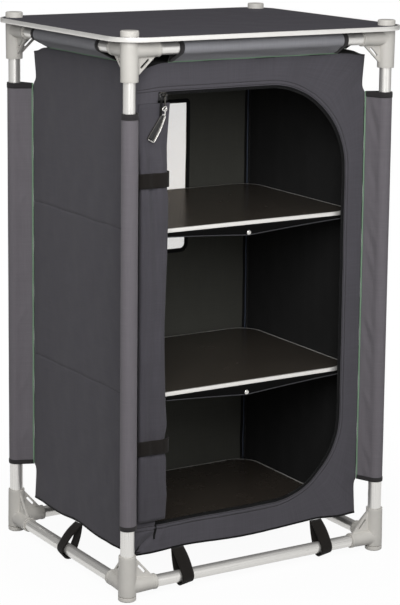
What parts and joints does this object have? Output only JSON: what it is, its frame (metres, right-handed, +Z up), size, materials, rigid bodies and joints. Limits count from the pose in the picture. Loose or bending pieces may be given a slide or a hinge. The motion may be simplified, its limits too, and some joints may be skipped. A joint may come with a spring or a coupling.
{
  "type": "camping cupboard",
  "caption": "Free-standing camping cupboard: plug-together tube frame, loose table top, and a hung cloth cabinet with shelves, a back window and a door rolled to one side.",
  "frame": {"origin": "on the floor, below the centre of the table top", "axes": "+X right, +Y back, +Z up; the door opening faces -Y"},
  "size_m": [0.6, 0.5, 1],
  "materials": {
    "connector_plastic": "moulded warm grey plastic",
    "tube_aluminium": "satin tube",
    "rim_aluminium": "satin edge strip",
    "table_board": "fibreboard, fine matt laminate",
    "shelf_board": "fibreboard, glossy dark laminate",
    "dark_cloth": "coated polyester cloth",
    "light_cloth": "coated polyester cloth",
    "lining_cloth": "dark lining",
    "net": "fine net",
    "webbing": "woven webbing",
    "zip_tape": "zip tape and coil",
    "bright_metal": "bright plated metal"
  },
  "bodies": {
    "frame": {"bottom_connector_front_left": "connector_plastic", "top_connector_front_left": "connector_plastic", "lower_upright_front_left": "tube_aluminium", "upper_upright_front_left": "tube_aluminium", "corner_sleeve_front_left": "light_cloth", "bottom_connector_front_right": "connector_plastic", "top_connector_front_right": "connector_plastic", "lower_upright_front_right": "tube_aluminium", "upper_upright_front_right": "tube_aluminium", "corner_sleeve_front_right": "light_cloth", "bottom_connector_back_right": "connector_plastic", "top_connector_back_right": "connector_plastic", "lower_upright_back_right": "tube_aluminium", "upper_upright_back_right": "tube_aluminium", "corner_sleeve_back_right": "light_cloth", "bottom_connector_back_left": "connector_plastic", "top_connector_back_left": "connector_plastic", "lower_upright_back_left": "tube_aluminium", "upper_upright_back_left": "tube_aluminium", "corner_sleeve_back_left": "light_cloth", "front_bottom_rail": "tube_aluminium", "front_top_rail": "tube_aluminium", "front_top_sleeve": "light_cloth", "back_bottom_rail": "tube_aluminium", "back_top_rail": "tube_aluminium", "back_top_sleeve": "light_cloth", "left_bottom_rail": "tube_aluminium", "left_top_rail": "tube_aluminium", "left_top_sleeve": "light_cloth", "right_bottom_rail": "tube_aluminium", "right_top_rail": "tube_aluminium", "right_top_sleeve": "light_cloth", "left_panel": "dark_cloth", "right_panel": "dark_cloth", "front_panel": "dark_cloth", "back_panel": "dark_cloth", "rolled_door": "dark_cloth", "ceiling_cloth": "lining_cloth", "floor_cloth": "lining_cloth", "upper_sling": "lining_cloth", "lower_sling": "lining_cloth", "window_net": "net", "webbing_loops": "webbing", "door_straps": "webbing", "zip_tape": "zip_tape", "press_studs": "bright_metal"},
    "table": {"table_top": "table_board", "table_rim": "rim_aluminium"},
    "upper_shelf_body": {"upper_shelf": "shelf_board", "upper_shelf_rim": "rim_aluminium"},
    "lower_shelf_body": {"lower_shelf": "shelf_board", "lower_shelf_rim": "rim_aluminium"},
    "floor_board_body": {"floor_board": "shelf_board", "floor_board_rim": "rim_aluminium"},
    "foot_front_left": {"foot_front_left": "connector_plastic"},
    "foot_front_right": {"foot_front_right": "connector_plastic"},
    "foot_back_right": {"foot_back_right": "connector_plastic"},
    "foot_back_left": {"foot_back_left": "connector_plastic"},
    "slider": {"zip_slider": "bright_metal"},
    "pull": {"zip_pull": "bright_metal"}
  },
  "joints": [
    {"name": "table_lift", "type": "slide", "parent": "frame", "child": "table", "axis": [0, 0, 1], "range_m": [0, 0.1]},
    {"name": "upper_shelf_lift", "type": "slide", "parent": "frame", "child": "upper_shelf_body", "axis": [0, 0, 1], "range_m": [0, 0.28]},
    {"name": "lower_shelf_lift", "type": "slide", "parent": "frame", "child": "lower_shelf_body", "axis": [0, 0, 1], "range_m": [0, 0.26]},
    {"name": "floor_board_lift", "type": "slide", "parent": "frame", "child": "floor_board_body", "axis": [0, 0, 1], "range_m": [0, 0.24]},
    {"name": "foot_screw_front_left", "type": "slide", "parent": "frame", "child": "foot_front_left", "axis": [0, 0, -1], "range_m": [0, 0.01]},
    {"name": "foot_screw_front_right", "type": "slide", "parent": "frame", "child": "foot_front_right", "axis": [0, 0, -1], "range_m": [0, 0.01]},
    {"name": "foot_screw_back_right", "type": "slide", "parent": "frame", "child": "foot_back_right", "axis": [0, 0, -1], "range_m": [0, 0.01]},
    {"name": "foot_screw_back_left", "type": "slide", "parent": "frame", "child": "foot_back_left", "axis": [0, 0, -1], "range_m": [0, 0.01]},
    {"name": "zip_slide", "type": "slide", "parent": "frame", "child": "slider", "axis": [1, 0, 0], "range_m": [0, 0.21]},
    {"name": "pull_swing", "type": "hinge", "parent": "slider", "child": "pull", "pos_m": [-0.186, -0.1975, 0.885], "axis": [-1, 0, 0], "range_deg": [0, 120]}
  ]
}
